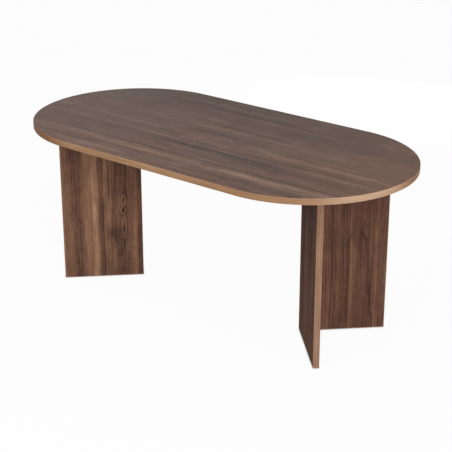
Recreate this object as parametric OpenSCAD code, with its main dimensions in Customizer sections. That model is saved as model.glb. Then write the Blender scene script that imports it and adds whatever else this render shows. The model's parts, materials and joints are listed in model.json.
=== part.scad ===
// Dining table with a round-ended top on two V-shaped panel legs.
// The origin is on the floor under the centre of the top, +X runs along the table and +Z is up.
// Every leg is drawn once in its own frame and mirrored into its place under the top.

/* [Tabletop] */
// Length of the top over its edge band
top_length = 1800; // [1500:10:2400]
// Width of the top over its edge band, and the diameter of its round ends
top_width = 900; // [760:10:1100]
// Height of the upper face above the floor
table_height = 750; // [680:5:800]
// Thickness of the top board
top_thickness = 25; // [22:0.5:36]

/* [Legs] */
// Length of each leg panel along its outer face, over its edge band
leg_arm = 355; // [280:5:400]
// Thickness of each leg panel
leg_thickness = 25; // [22:0.5:36]
// Angle between the two panels of a leg
v_angle = 90; // [80:1:110]
// Distance from the end of the top in to the free ends of the leg panels
end_overhang = 212; // [150:1:300]

/* [Edge bands] */
// Thickness of the band round the top and on the free ends of the leg panels
band_thickness = 2; // [1.2:0.1:3]
// Width of the small chamfer along the outer arrises of a band
band_arris = 0.8; // [0.3:0.1:1]
// Thickness of the band under the leg panels
foot_band_thickness = 1; // [0.4:0.1:2]
// Glue line between a round board edge and its band
glue_line = 0.1; // [0.05:0.05:0.3]

/* [Wooden dowels] */
// Diameter of the locating dowels between the legs and the top
top_dowel_d = 8; // [6:0.5:10]
// Length of a locating dowel
top_dowel_length = 30; // [24:1:36]
// Length of a locating dowel that stands in the top
top_dowel_in_top = 12; // [8:1:14]
// Distance from a cam fitting to the locating dowel beside it
dowel_pitch = 32; // [26:1:40]
// Diameter of the dowels across a leg's mitred corner
mitre_dowel_d = 6; // [5:0.5:7]
// Length of a dowel across the mitred corner
mitre_dowel_length = 20; // [14:1:22]
// Distance from the inner corner of the mitre to its dowels
mitre_dowel_inset = 15; // [12:1:16]
// Height of the lowest mitre dowel above the panel's foot, and of the highest below its top
mitre_dowel_end = 75; // [40:5:150]
// Number of dowels across each mitred corner
mitre_dowels = 5; // [3:1:8]
// Width of the chamfer on the ends of a dowel
dowel_chamfer = 0.8; // [0.4:0.1:1.5]
// Gap round a dowel in its hole
dowel_clearance = 0.05; // [0.05:0.05:0.2]
// Empty depth past the end of a dowel
dowel_spare = 1; // [0.5:0.5:2]

/* [Cam fittings] */
// Diameter of the round cam lock
cam_d = 15; // [12:0.5:18]
// Distance from the panel's top edge down to the cam's centre
cam_drop = 34; // [24:1:45]
// Depth of the cam's hole past the middle of the panel
cam_hole_past_middle = 4.5; // [4.5:0.5:5.5]
// Distance from the inner corner of the leg to the first cam
cam_from_corner = 60; // [40:1:75]
// Distance from the free end of the panel to the second cam
cam_from_end = 65; // [40:1:80]
// Gap round a cam lock in its hole
cam_clearance = 0.1; // [0.05:0.05:0.2]
// Depth of the cam's face below the panel's inner face
cam_sink = 0.5; // [0.2:0.1:1]
// Diameter of the cam bolt's shank
bolt_d = 6.8; // [5.5:0.1:7.2]
// Diameter of the cam bolt's neck, which the cam grips
bolt_neck_d = 4; // [3:0.1:4.5]
// Height of the cam bolt's head
bolt_head_height = 3; // [2:0.1:4]
// Outer diameter of the cam bolt's thread
bolt_thread_d = 6; // [5:0.5:6.5]
// Length of the cam bolt's thread
bolt_thread_length = 10; // [8:1:11]
// Pitch of the cam bolt's thread
bolt_pitch = 1; // [0.8:0.1:1.5]
// Depth of the thread
thread_depth = 0.45; // [0.3:0.05:0.6]
// Gap between the bolt's head or neck and the cam
grip_clearance = 0.3; // [0.2:0.05:0.5]
// Diameter of the bolt's hole in the panel's top edge
bolt_hole_d = 8; // [7.5:0.5:10]
// Diameter of the cover cap over a cam
cap_d = 17; // [16:0.5:22]
// Thickness of the cover cap
cap_thickness = 1.2; // [0.8:0.1:2]
// Diameter of the cap's stem
cap_stem_d = 3.6; // [3:0.1:4]
// Length of the cap's stem
cap_stem_length = 3; // [2:0.5:3.5]
// Width of one slot of the cam's cross recess
recess_width = 1.4; // [1:0.1:2]
// Length of one slot of the cam's cross recess
recess_length = 8; // [6:0.5:9]
// Depth of the cam's cross recess
recess_depth = 2.5; // [1.5:0.5:3]

/* [Insert nuts] */
// Outer diameter of the insert nut in the underside of the top
insert_d = 10; // [9:0.5:12]
// Length of the insert nut
insert_length = 12.5; // [11.5:0.5:14]
// Depth of the grooves round the insert nut
insert_groove = 0.6; // [0.3:0.1:0.8]
// Number of grooves round the insert nut
insert_grooves = 6; // [4:1:8]
// Gap round an insert nut, and round the bolt inside it
insert_clearance = 0.05; // [0.05:0.05:0.15]
// Empty depth past the end of an insert nut
insert_spare = 0.5; // [0.5:0.5:2]

/* [Glides] */
// Diameter of a glide
glide_d = 18; // [14:1:20]
// Height of a glide between the floor and the leg
glide_height = 2; // [1.5:0.5:6]
// Diameter of the glide's nail
glide_pin_d = 3; // [2:0.5:4]
// Length of the glide's nail
glide_pin_length = 14; // [10:1:20]
// Distance from the inner corner of the leg to the first glide
glide_from_corner = 25; // [18:1:45]
// Distance from the free end of the panel to the second glide
glide_from_end = 35; // [20:1:60]
// Width of the chamfer round the foot of a glide
glide_chamfer = 0.6; // [0.3:0.1:1]

/* [Hidden] */

$fn = 64;

// A cut runs this far past the face that it opens
past = 1;

walnut = [0.42, 0.33, 0.27];
walnut_dark = [0.36, 0.26, 0.21];
tan_band = [0.68, 0.53, 0.40];
beech = [0.80, 0.66, 0.48];
zinc = [0.72, 0.72, 0.74];
cap_brown = [0.30, 0.21, 0.16];
glide_black = [0.12, 0.12, 0.12];

LEFT = -1;
RIGHT = 1;
FRONT = -1;
REAR = 1;

// Levels above the floor
under_top = table_height - top_thickness;
panel_foot = glide_height + foot_band_thickness;
panel_height = under_top - panel_foot;

// The round-ended outline of the top
band_outer_r = top_width / 2;
band_inner_r = band_outer_r - band_thickness;
board_r = band_inner_r - glue_line;
straight_length = top_length - top_width;

// The leg in its own frame: its outer corner at the origin, its mouth towards +X
half_v = v_angle / 2;
inner_corner = leg_thickness / tan(half_v);
mitre_length = leg_thickness / sin(half_v);
corner_x = top_length / 2 - end_overhang - leg_arm * cos(half_v);
panel_length = leg_arm - band_thickness;

// Places along a panel, from its outer corner
cam_places = [inner_corner + cam_from_corner, leg_arm - cam_from_end];
dowel_places = [cam_places[0] + dowel_pitch, cam_places[1] - dowel_pitch];
glide_places = [inner_corner + glide_from_corner, leg_arm - glide_from_end];

// Heights of the dowels across the mitre
mitre_step = (panel_height - 2 * mitre_dowel_end) / (mitre_dowels - 1);
mitre_heights = [for (i = [0 : mitre_dowels - 1]) panel_foot + mitre_dowel_end + i * mitre_step];
mitre_dowel_x = mitre_length - mitre_dowel_inset;

// The cam lock sits in a blind hole in the panel's inner face
panel_middle = leg_thickness / 2;
cam_z = under_top - cam_drop;
cam_hole_depth = panel_middle + cam_hole_past_middle;
cam_face_y = leg_thickness - cam_sink;
cam_floor_y = leg_thickness - cam_hole_depth + cam_clearance;
cam_r = cam_d / 2 - cam_clearance;
head_pocket = bolt_d / 2 + grip_clearance;
neck_pocket = bolt_neck_d / 2 + grip_clearance;
stem_hole_d = cap_stem_d + 2 * grip_clearance;

// A leg drawn in its own frame, set under the left or the right end of the top
module leg_place(side) {
  translate([side * corner_x, 0, 0])
    mirror([side < 0 ? 1 : 0, 0, 0])
      children();
}

// A panel drawn along +X with its outer face on y = 0, swung into the front or the rear arm of the V
module arm_place(row) {
  mirror([0, row > 0 ? 1 : 0, 0])
    rotate([0, 0, -half_v])
      children();
}

// Copies of one fitting at several places along both arms of one leg
module along_leg(side, places, y, z) {
  for (row = [FRONT, REAR])
    leg_place(side)
      arm_place(row)
        along_panel(places, y, z)
          children();
}

module along_panel(places, y, z) {
  for (x = places)
    translate([x, y, z])
      children();
}

// A wooden dowel along +Z with chamfered ends
module dowel(d, length) {
  r = d / 2;
  rotate_extrude()
    polygon([
      [0, 0],
      [r - dowel_chamfer, 0],
      [r, dowel_chamfer],
      [r, length - dowel_chamfer],
      [r - dowel_chamfer, length],
      [0, length],
    ]);
}

// Cross-section of an edge band: thickness outwards along x, height along y
module band_section(height) {
  polygon([
    [0, 0],
    [band_thickness - band_arris, 0],
    [band_thickness, band_arris],
    [band_thickness, height - band_arris],
    [band_thickness - band_arris, height],
    [0, height],
  ]);
}

// Plan of a leg panel, mitred along its corner
module panel_plan(length) {
  polygon([
    [0, 0],
    [length, 0],
    [length, leg_thickness],
    [inner_corner, leg_thickness],
  ]);
}

module round_ended_board(r, height) {
  linear_extrude(height)
    union() {
      square([straight_length, 2 * r], center = true);
      translate([-straight_length / 2, 0])
        circle(r);
      translate([straight_length / 2, 0])
        circle(r);
    }
}

// Holes in the underside of the top, over one leg
module top_holes(side) {
  along_leg(side, dowel_places, panel_middle, under_top - past)
    cylinder(d = top_dowel_d + 2 * dowel_clearance, h = past + top_dowel_in_top + dowel_spare);
  along_leg(side, cam_places, panel_middle, under_top - past)
    cylinder(d = insert_d + 2 * insert_clearance, h = past + insert_length + insert_spare);
}

module tabletop_board() {
  color(walnut)
    difference() {
      translate([0, 0, under_top])
        round_ended_board(board_r, top_thickness);
      top_holes(LEFT);
      top_holes(RIGHT);
    }
}

module band_round_end() {
  translate([straight_length / 2, 0, 0])
    rotate([0, 0, -90])
      rotate_extrude(angle = 180, $fn = 128)
        translate([band_inner_r, 0])
          band_section(top_thickness);
}

module band_straight_side() {
  translate([-straight_length / 2, band_inner_r, 0])
    rotate([90, 0, 90])
      linear_extrude(straight_length)
        band_section(top_thickness);
}

module tabletop_edge_band() {
  color(tan_band)
    translate([0, 0, under_top])
      union() {
        band_round_end();
        mirror([1, 0, 0])
          band_round_end();
        band_straight_side();
        mirror([0, 1, 0])
          band_straight_side();
      }
}

// An insert nut along +Z from the underside of the top, grooved outside and bored for the bolt
module insert_nut() {
  r = insert_d / 2;
  step = insert_length / (2 * insert_grooves + 1);
  teeth = [
    for (i = [0 : 2 * insert_grooves])
      for (end = [0, 1])
        [r - (i % 2 == 1 ? insert_groove : 0), (i + end) * step]
  ];
  bore_r = bolt_thread_d / 2 + insert_clearance;
  rotate_extrude()
    polygon(concat([[bore_r, 0]], teeth, [[bore_r, insert_length]]));
}

module insert_nuts(side) {
  color(zinc)
    along_leg(side, cam_places, panel_middle, under_top)
      insert_nut();
}

// One leg panel with its holes, along +X from the outer corner
module leg_panel() {
  color(walnut_dark)
    difference() {
      translate([0, 0, panel_foot])
        linear_extrude(panel_height)
          panel_plan(panel_length);
      along_panel(dowel_places, panel_middle, under_top + past)
        mirror([0, 0, 1])
          cylinder(
            d = top_dowel_d + 2 * dowel_clearance,
            h = past + top_dowel_length - top_dowel_in_top + dowel_spare
          );
      along_panel(cam_places, panel_middle, cam_z)
        cylinder(d = bolt_hole_d, h = cam_drop + past);
      along_panel(cam_places, leg_thickness + past, cam_z)
        rotate([90, 0, 0])
          cylinder(d = cam_d, h = past + cam_hole_depth);
      rotate([0, 0, half_v])
        mitre_holes();
      along_panel(glide_places, panel_middle, panel_foot - past)
        cylinder(d = glide_pin_d + 2 * dowel_clearance, h = past + glide_pin_length);
    }
}

// Holes for the mitre dowels, in the leg's own frame
module mitre_holes() {
  depth = mitre_dowel_length / 2 + dowel_spare / 2;
  for (z = mitre_heights)
    translate([mitre_dowel_x, 0, z])
      rotate([90, 0, 0])
        cylinder(d = mitre_dowel_d + 2 * dowel_clearance, h = 2 * depth, center = true);
}

module leg_panel_at(side, row) {
  leg_place(side)
    arm_place(row)
      leg_panel();
}

// The band on the free end of a panel
module end_band_at(side, row) {
  color(tan_band)
    leg_place(side)
      arm_place(row)
        translate([panel_length, 0, panel_foot])
          linear_extrude(panel_height)
            band_section(leg_thickness);
}

// The thin band under a panel and its end band, pierced by the nails of the glides
module foot_band_at(side, row) {
  color(tan_band)
    leg_place(side)
      arm_place(row)
        difference() {
          translate([0, 0, glide_height])
            linear_extrude(foot_band_thickness)
              panel_plan(leg_arm - band_arris);
          along_panel(glide_places, panel_middle, glide_height - past)
            cylinder(d = glide_pin_d + 2 * dowel_clearance, h = foot_band_thickness + 2 * past);
        }
}

module mitre_dowels_of(side) {
  color(beech)
    leg_place(side)
      for (z = mitre_heights)
        translate([mitre_dowel_x, mitre_dowel_length / 2, z])
          rotate([90, 0, 0])
            dowel(mitre_dowel_d, mitre_dowel_length);
}

module top_dowels_of(side) {
  color(beech)
    along_leg(side, dowel_places, panel_middle, under_top + top_dowel_in_top - top_dowel_length)
      dowel(top_dowel_d, top_dowel_length);
}

// A cam bolt along +Z with the middle of its head at the origin: head, neck, shank and thread
module cam_bolt() {
  head_top = bolt_head_height / 2;
  neck_top = cam_d / 2 + grip_clearance;
  thread_r = bolt_thread_d / 2;
  turns = floor(bolt_thread_length / bolt_pitch);
  ridges = [
    for (i = [0 : turns - 1])
      each [
        [thread_r - thread_depth, cam_drop + i * bolt_pitch],
        [thread_r, cam_drop + (i + 0.5) * bolt_pitch],
      ]
  ];
  rotate_extrude()
    polygon(concat(
      [
        [0, -head_top],
        [bolt_d / 2, -head_top],
        [bolt_d / 2, head_top],
        [bolt_neck_d / 2, head_top],
        [bolt_neck_d / 2, neck_top],
        [bolt_d / 2, neck_top],
        [bolt_d / 2, cam_drop],
      ],
      ridges,
      [
        [thread_r - thread_depth, cam_drop + turns * bolt_pitch],
        [0, cam_drop + turns * bolt_pitch],
      ]
    ));
}

module cam_bolts_of(side) {
  color(zinc)
    along_leg(side, cam_places, panel_middle, cam_z)
      cam_bolt();
}

// A cam lock round its own centre, open upwards for the neck of the bolt, which it grips behind the head
module cam_lock() {
  head_floor = bolt_head_height / 2 + grip_clearance;
  difference() {
    translate([0, cam_face_y - panel_middle, 0])
      rotate([90, 0, 0])
        cylinder(r = cam_r, h = cam_face_y - cam_floor_y);
    translate([-head_pocket, -head_pocket, -head_floor])
      cube([2 * head_pocket, 2 * head_pocket, 2 * head_floor]);
    translate([-neck_pocket, -neck_pocket, 0])
      cube([2 * neck_pocket, 2 * neck_pocket, cam_r + past]);
    translate([0, cam_face_y - panel_middle + past, 0])
      rotate([90, 0, 0])
        cam_recess();
  }
}

// The cross recess for a screwdriver and the socket for the cap's stem
module cam_recess() {
  for (turn = [0, 90])
    rotate([0, 0, turn + 45])
      translate([-recess_length / 2, -recess_width / 2, 0])
        cube([recess_length, recess_width, recess_depth + past]);
  cylinder(d = stem_hole_d, h = cap_stem_length + grip_clearance + past);
}

module cam_locks_of(side) {
  color(zinc)
    along_leg(side, cam_places, panel_middle, cam_z)
      cam_lock();
}

// A cover cap on the panel's inner face, with a stem into the cam
module cam_cap() {
  chamfer = cap_thickness / 3;
  stem_r = cap_stem_d / 2;
  rotate([-90, 0, 0])
    rotate_extrude()
      polygon([
        [0, -cap_stem_length],
        [stem_r, -cap_stem_length],
        [stem_r, 0],
        [cap_d / 2, 0],
        [cap_d / 2, cap_thickness - chamfer],
        [cap_d / 2 - chamfer, cap_thickness],
        [0, cap_thickness],
      ]);
}

module cam_caps_of(side) {
  color(cap_brown)
    along_leg(side, cam_places, leg_thickness, cam_z)
      cam_cap();
}

// A nail-in glide standing on the floor
module glide() {
  r = glide_d / 2;
  pin_r = glide_pin_d / 2;
  pin_top = panel_foot + glide_pin_length - dowel_spare;
  rotate_extrude()
    polygon([
      [0, 0],
      [r - glide_chamfer, 0],
      [r, glide_chamfer],
      [r, glide_height],
      [pin_r, glide_height],
      [pin_r, pin_top - pin_r],
      [0, pin_top],
    ]);
}

module glides_of(side) {
  color(glide_black)
    along_leg(side, glide_places, panel_middle, 0)
      glide();
}

tabletop_board();
tabletop_edge_band();
insert_nuts(LEFT);  // tabletop_left_insert_nuts
insert_nuts(RIGHT);  // tabletop_right_insert_nuts
leg_panel_at(LEFT, FRONT);  // left_leg_front_panel
leg_panel_at(LEFT, REAR);  // left_leg_rear_panel
end_band_at(LEFT, FRONT);  // left_leg_front_end_band
end_band_at(LEFT, REAR);  // left_leg_rear_end_band
foot_band_at(LEFT, FRONT);  // left_leg_front_foot_band
foot_band_at(LEFT, REAR);  // left_leg_rear_foot_band
mitre_dowels_of(LEFT);  // left_leg_mitre_dowels
top_dowels_of(LEFT);  // left_leg_top_dowels
cam_bolts_of(LEFT);  // left_leg_cam_bolts
cam_locks_of(LEFT);  // left_leg_cam_locks
cam_caps_of(LEFT);  // left_leg_cam_caps
glides_of(LEFT);  // left_leg_glides
leg_panel_at(RIGHT, FRONT);  // right_leg_front_panel
leg_panel_at(RIGHT, REAR);  // right_leg_rear_panel
end_band_at(RIGHT, FRONT);  // right_leg_front_end_band
end_band_at(RIGHT, REAR);  // right_leg_rear_end_band
foot_band_at(RIGHT, FRONT);  // right_leg_front_foot_band
foot_band_at(RIGHT, REAR);  // right_leg_rear_foot_band
mitre_dowels_of(RIGHT);  // right_leg_mitre_dowels
top_dowels_of(RIGHT);  // right_leg_top_dowels
cam_bolts_of(RIGHT);  // right_leg_cam_bolts
cam_locks_of(RIGHT);  // right_leg_cam_locks
cam_caps_of(RIGHT);  // right_leg_cam_caps
glides_of(RIGHT);  // right_leg_glides
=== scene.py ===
"""A dining table: an obround walnut-look top with a tan edge band, on two V-shaped panel legs.

Every size is in metres. The origin is on the floor under the centre of the top, +X runs along the
table, -Y is its front and +Z is up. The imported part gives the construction. Here each piece gets its
finish, and the top board, the edge band round it and the legs' end bands get finer meshes of their own.
"""

from __future__ import annotations

import json
import logging
import math
from dataclasses import dataclass, field
from enum import Enum
from typing import Any, Iterable, Mapping, Sequence, Union

import bmesh
import bpy
from bmesh.types import BMesh, BMVert
from bpy.types import Material, Node, NodeSocket, NodeTree, Object
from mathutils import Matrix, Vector

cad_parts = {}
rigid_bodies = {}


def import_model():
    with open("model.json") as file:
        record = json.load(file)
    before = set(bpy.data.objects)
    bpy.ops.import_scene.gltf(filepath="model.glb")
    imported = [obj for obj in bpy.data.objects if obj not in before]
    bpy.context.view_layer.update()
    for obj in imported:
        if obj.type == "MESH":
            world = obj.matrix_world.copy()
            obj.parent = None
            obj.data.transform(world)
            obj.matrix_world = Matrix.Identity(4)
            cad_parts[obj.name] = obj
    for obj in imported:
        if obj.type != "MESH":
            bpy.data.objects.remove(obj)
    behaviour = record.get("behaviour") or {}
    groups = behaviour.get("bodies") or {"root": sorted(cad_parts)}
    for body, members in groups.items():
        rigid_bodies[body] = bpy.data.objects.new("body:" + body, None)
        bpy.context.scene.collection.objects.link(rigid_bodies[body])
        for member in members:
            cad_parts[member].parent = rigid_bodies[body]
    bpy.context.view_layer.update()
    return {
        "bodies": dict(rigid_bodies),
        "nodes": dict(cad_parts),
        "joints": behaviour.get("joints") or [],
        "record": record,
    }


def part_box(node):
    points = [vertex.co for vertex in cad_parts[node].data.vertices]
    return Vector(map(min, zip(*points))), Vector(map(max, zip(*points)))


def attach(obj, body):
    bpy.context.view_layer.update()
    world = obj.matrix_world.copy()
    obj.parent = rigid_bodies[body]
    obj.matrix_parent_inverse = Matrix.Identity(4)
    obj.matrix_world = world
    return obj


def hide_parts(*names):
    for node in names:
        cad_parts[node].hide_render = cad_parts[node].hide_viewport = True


LOG = logging.getLogger("dining_table")
ROOT = "root"
MM = 0.001
UP = Vector((0, 0, 1))

# The angle between two faces from which the edge between them stays sharp
SHARP_ANGLE = math.radians(32)

# A distance along the grain that is past either end of every board
PAST_END = 2.0

Colour = tuple[float, float, float, float]
Stops = tuple[tuple[float, Colour], ...]
PlanPoint = tuple[float, float]
Frame = Mapping[str, Any]
Inputs = Mapping[str, Any]

# How often a pattern changes in a metre along the grain, and how often across it
Rates = tuple[float, float]

WHITE: Colour = (1.0, 1.0, 1.0, 1.0)


class Side(Enum):
    """The end of the table that a leg stands under."""

    LEFT = -1
    RIGHT = 1


class Arm(Enum):
    """One of the two panels of a V-shaped leg."""

    FRONT = -1
    REAR = 1


class Slot(Enum):
    """The names of two material slots, which nothing in the script uses."""

    TOP_LAMINATE = "tabletop_laminate"
    EDGE_BAND = "tan_edge_band"


def tint(red: float, green: float, blue: float) -> Colour:
    """Turns a colour as it is seen on a screen into the linear colour that a shader takes.

    Args:
        red: red, from 0 to 255.
        green: green, from 0 to 255.
        blue: blue, from 0 to 255.

    Returns:
        The linear colour with full opacity.
    """

    def linear(level: float) -> float:
        """One channel of the colour."""
        share = level / 255
        return share / 12.92 if share < 0.04045 else ((share + 0.055) / 1.055) ** 2.4

    return (linear(red), linear(green), linear(blue), 1.0)


@dataclass(frozen=True)
class Signal:
    """A value in a node graph. Arithmetic on it adds Math nodes to the graph."""

    graph: Graph
    socket: NodeSocket

    def __add__(self, other: Operand) -> Signal:
        """This value plus another."""
        return self.graph.math("ADD", self, other)

    def __radd__(self, other: Operand) -> Signal:
        """Another value plus this one."""
        return self.graph.math("ADD", other, self)

    def __sub__(self, other: Operand) -> Signal:
        """This value minus another."""
        return self.graph.math("SUBTRACT", self, other)

    def __rsub__(self, other: Operand) -> Signal:
        """Another value minus this one."""
        return self.graph.math("SUBTRACT", other, self)

    def __mul__(self, other: Operand) -> Signal:
        """This value times another."""
        return self.graph.math("MULTIPLY", self, other)

    def __rmul__(self, other: Operand) -> Signal:
        """Another value times this one."""
        return self.graph.math("MULTIPLY", other, self)

    def __truediv__(self, other: Operand) -> Signal:
        """This value divided by another."""
        return self.graph.math("DIVIDE", self, other)

    def __pow__(self, other: Operand) -> Signal:
        """This value to the power of another."""
        return self.graph.math("POWER", self, other)

    def __abs__(self) -> Signal:
        """The size of this value without its sign."""
        return self.graph.math("ABSOLUTE", self)

    def above(self, level: float) -> Signal:
        """1 where this value is above a level, and 0 elsewhere."""
        return self.graph.math("GREATER_THAN", self, level)

    def sine(self) -> Signal:
        """The sine of this value, which is in radians."""
        return self.graph.math("SINE", self)

    def larger(self, other: Operand) -> Signal:
        """The larger of this value and another."""
        return self.graph.math("MAXIMUM", self, other)

    def smaller(self, other: Operand) -> Signal:
        """The smaller of this value and another."""
        return self.graph.math("MINIMUM", self, other)

    def smooth(self, low: float, high: float) -> Signal:
        """A soft step that is 0 below one level and 1 above another.

        Args:
            low: the level up to which the step is 0.
            high: the level from which the step is 1.

        Returns:
            The step as a value from 0 to 1.
        """
        settings = {"interpolation_type": "SMOOTHSTEP"}
        inputs = {"Value": self, "From Min": low, "From Max": high}
        return Signal(self.graph, self.graph.node("ShaderNodeMapRange", settings, inputs).outputs["Result"])


Operand = Union[Signal, float]


class Graph:
    """A node graph, built one node at a time."""

    def __init__(self, tree: NodeTree) -> None:
        """Starts an empty graph.

        Args:
            tree: the node tree of a material or a world, whose nodes are removed.
        """
        self.tree = tree
        self.tree.nodes.clear()

    def node(self, kind: str, settings: Inputs | None = None, inputs: Inputs | None = None) -> Node:
        """Adds a node, sets it up and feeds its sockets.

        Args:
            kind: the name of the type of node.
            settings: the node's own settings, where "stops" gives a ramp pairs of place and colour.
            inputs: for each input socket a value, a socket or a Signal.

        Returns:
            The new node.
        """
        made = self.tree.nodes.new(kind)
        for name, value in (settings or {}).items():
            if name == "stops":
                self._set_stops(made.color_ramp, value)
            else:
                setattr(made, name, value)
        for name, value in (inputs or {}).items():
            self._feed(self._socket(made.inputs, name), value)
        return made

    @staticmethod
    def _set_stops(ramp: bpy.types.ColorRamp, stops: Stops) -> None:
        """Gives a ramp its stops.

        Args:
            ramp: the ramp, which starts with two stops.
            stops: pairs of place and colour, from left to right.
        """
        while len(ramp.elements) < len(stops):
            ramp.elements.new(1.0)
        for element, (place, colour) in zip(ramp.elements, stops):
            element.position = place
            element.color = colour

    @staticmethod
    def _socket(sockets: Any, name: str) -> NodeSocket:
        """One of a node's inputs or outputs, by its identifier or else by its name."""
        found = [socket for socket in sockets if socket.identifier == name]
        return found[0] if found else sockets[name]

    def _feed(self, socket: NodeSocket, value: Any) -> None:
        """Links a socket or sets its value.

        Args:
            socket: the input socket.
            value: a Signal, an output socket, a number or a colour.
        """
        source = value.socket if isinstance(value, Signal) else value
        if isinstance(source, NodeSocket):
            self.tree.links.new(source, socket)
        else:
            socket.default_value = source

    def math(self, operation: str, *operands: Operand) -> Signal:
        """The result of a Math node that takes one or two values or Signals, in order."""
        inputs = dict(zip(("Value", "Value_001"), operands))
        return Signal(self, self.node("ShaderNodeMath", {"operation": operation}, inputs).outputs["Value"])

    def vector(self, operation: str, **inputs: Any) -> Node:
        """A Vector Math node, with what its input sockets take."""
        return self.node("ShaderNodeVectorMath", {"operation": operation}, inputs)

    def dot(self, vector: NodeSocket, direction: Vector) -> Signal:
        """How far a vector reaches in a fixed direction of length 1."""
        made = self.vector("DOT_PRODUCT", Vector=vector, Vector_001=tuple(direction))
        return Signal(self, made.outputs["Value"])

    def push(self, vector: NodeSocket, direction: Vector, distance: Signal) -> NodeSocket:
        """The socket of a vector that is moved a distance in a fixed direction."""
        step = self.vector("SCALE", Vector=tuple(direction), Scale=distance)
        return self.vector("ADD", Vector=vector, Vector_001=step.outputs["Vector"]).outputs["Vector"]

    def point(self, x: Operand, y: Operand, z: Operand) -> NodeSocket:
        """The socket of a vector that is made of three values."""
        return self.node("ShaderNodeCombineXYZ", None, {"X": x, "Y": y, "Z": z}).outputs["Vector"]

    def noise(self, where: NodeSocket, detail: float = 1.0, roughness: float = 0.5) -> Signal:
        """Smooth noise about zero. Detail adds finer layers to it, and roughness makes them stronger."""
        inputs = {"Vector": where, "Scale": 1.0, "Detail": detail, "Roughness": roughness}
        return Signal(self, self.node("ShaderNodeTexNoise", None, inputs).outputs["Fac"]) - 0.5

    def ramp(self, value: Signal, stops: Stops) -> NodeSocket:
        """The socket of a colour that is looked up from a value between 0 and 1."""
        return self.node("ShaderNodeValToRGB", {"stops": stops}, {"Fac": value}).outputs["Color"]

    def blend(self, share: Operand, first: Any, second: Any, mode: str = "MIX") -> NodeSocket:
        """Mixes two colours.

        Args:
            share: how much of the second colour there is.
            first: the first colour or its socket.
            second: the second colour or its socket.
            mode: the way in which they are mixed.

        Returns:
            The mixed colour's socket.
        """
        settings = {"data_type": "RGBA", "blend_type": mode}
        inputs = {"Factor_Float": share, "A_Color": first, "B_Color": second}
        return self._socket(self.node("ShaderNodeMix", settings, inputs).outputs, "Result_Color")

    def merge(self, share: Signal, first: Node, second: Node) -> NodeSocket:
        """The socket of a mix of two shaders, given the second one's share."""
        inputs = {"Fac": share, "Shader": first.outputs[0], "Shader_001": second.outputs[0]}
        return self.node("ShaderNodeMixShader", None, inputs).outputs["Shader"]

    def bump(self, height: Signal, depth: float, strength: float) -> NodeSocket:
        """The socket of a normal that is slanted by a height, with the depth in metres of a height of 1."""
        inputs = {"Height": height, "Distance": depth, "Strength": strength}
        return self.node("ShaderNodeBump", None, inputs).outputs["Normal"]


class Surface(Graph):
    """The graph of one material, with its shader and its output."""

    def __init__(self, name: str) -> None:
        """Starts a material.

        Args:
            name: the material's name.
        """
        self.material = bpy.data.materials.new(name)
        self.material.use_nodes = True
        super().__init__(self.material.node_tree)
        self.place = self.node("ShaderNodeTexCoord").outputs["Object"]
        self.normal = self.node("ShaderNodeNewGeometry").outputs["True Normal"]

    def texture(self, kind: str, output: str = "Fac", **inputs: Any) -> Signal:
        """The value of a texture over the piece, from a type of node and one of its outputs."""
        made = self.node(kind, None, {"Vector": self.place, **inputs})
        return Signal(self, made.outputs[output])

    def finish(self, **sockets: Any) -> Material:
        """Adds the shader and ends the material.

        Args:
            sockets: what the shader's sockets take, with _ for a space in their names.

        Returns:
            The finished material.
        """
        inputs = {name.replace("_", " "): value for name, value in sockets.items()}
        shader = self.node("ShaderNodeBsdfPrincipled", None, inputs)
        self.node("ShaderNodeOutputMaterial", None, {"Surface": shader.outputs["BSDF"]})
        return self.material


@dataclass(frozen=True)
class BoardFrame:
    """Where a board lies: a corner of its outer face, its grain, and the ways across and through it."""

    corner: Vector
    along: Vector
    across: Vector
    through: Vector
    thickness: float

    def reach(self, surface: Surface, direction: Vector) -> Signal:
        """The distance in metres from the corner in one of the board's directions."""
        return surface.dot(surface.place, direction) - self.corner.dot(direction)


@dataclass(frozen=True)
class Spot:
    """A place on a board, by its distances along and across the grain."""

    along: Signal
    across: Signal

    def grain(self, rates: Rates, seed: Operand, detail: float = 1.0, roughness: float = 0.5) -> Signal:
        """Noise about zero that changes at a pair of rates along and across the grain."""
        where = self.along.graph.point(self.along * rates[0], self.across * rates[1], seed)
        return self.along.graph.noise(where, detail, roughness)

    def oval(self, centre: float, height: float, half_width: float, half_length: float) -> Signal:
        """The square of the distance from the middle of an oval that is 1 on its outline."""
        wide, tall = (self.across - centre) / half_width, (self.along - height) / half_length
        return wide * wide + tall * tall


@dataclass(frozen=True)
class Streak:
    """A lighter or darker streak that follows the grain."""

    centre: float
    half_width: float
    tone: float
    start: float = -PAST_END
    end: float = PAST_END
    fade: float = 0.06
    soft: float = 0.7

    def paint(self, spot: Spot) -> Signal:
        """The streak's tone.

        Args:
            spot: the place on the board.

        Returns:
            The tone, 0 away from the streak.
        """
        body = 1 - abs(spot.across - self.centre).smooth(self.half_width * (1 - self.soft), self.half_width)
        if self.start > -PAST_END:
            body = body * spot.along.smooth(self.start - self.fade, self.start + self.fade)
        if self.end < PAST_END:
            body = body * (1 - spot.along.smooth(self.end - self.fade, self.end + self.fade))
        return body * self.tone


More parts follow.
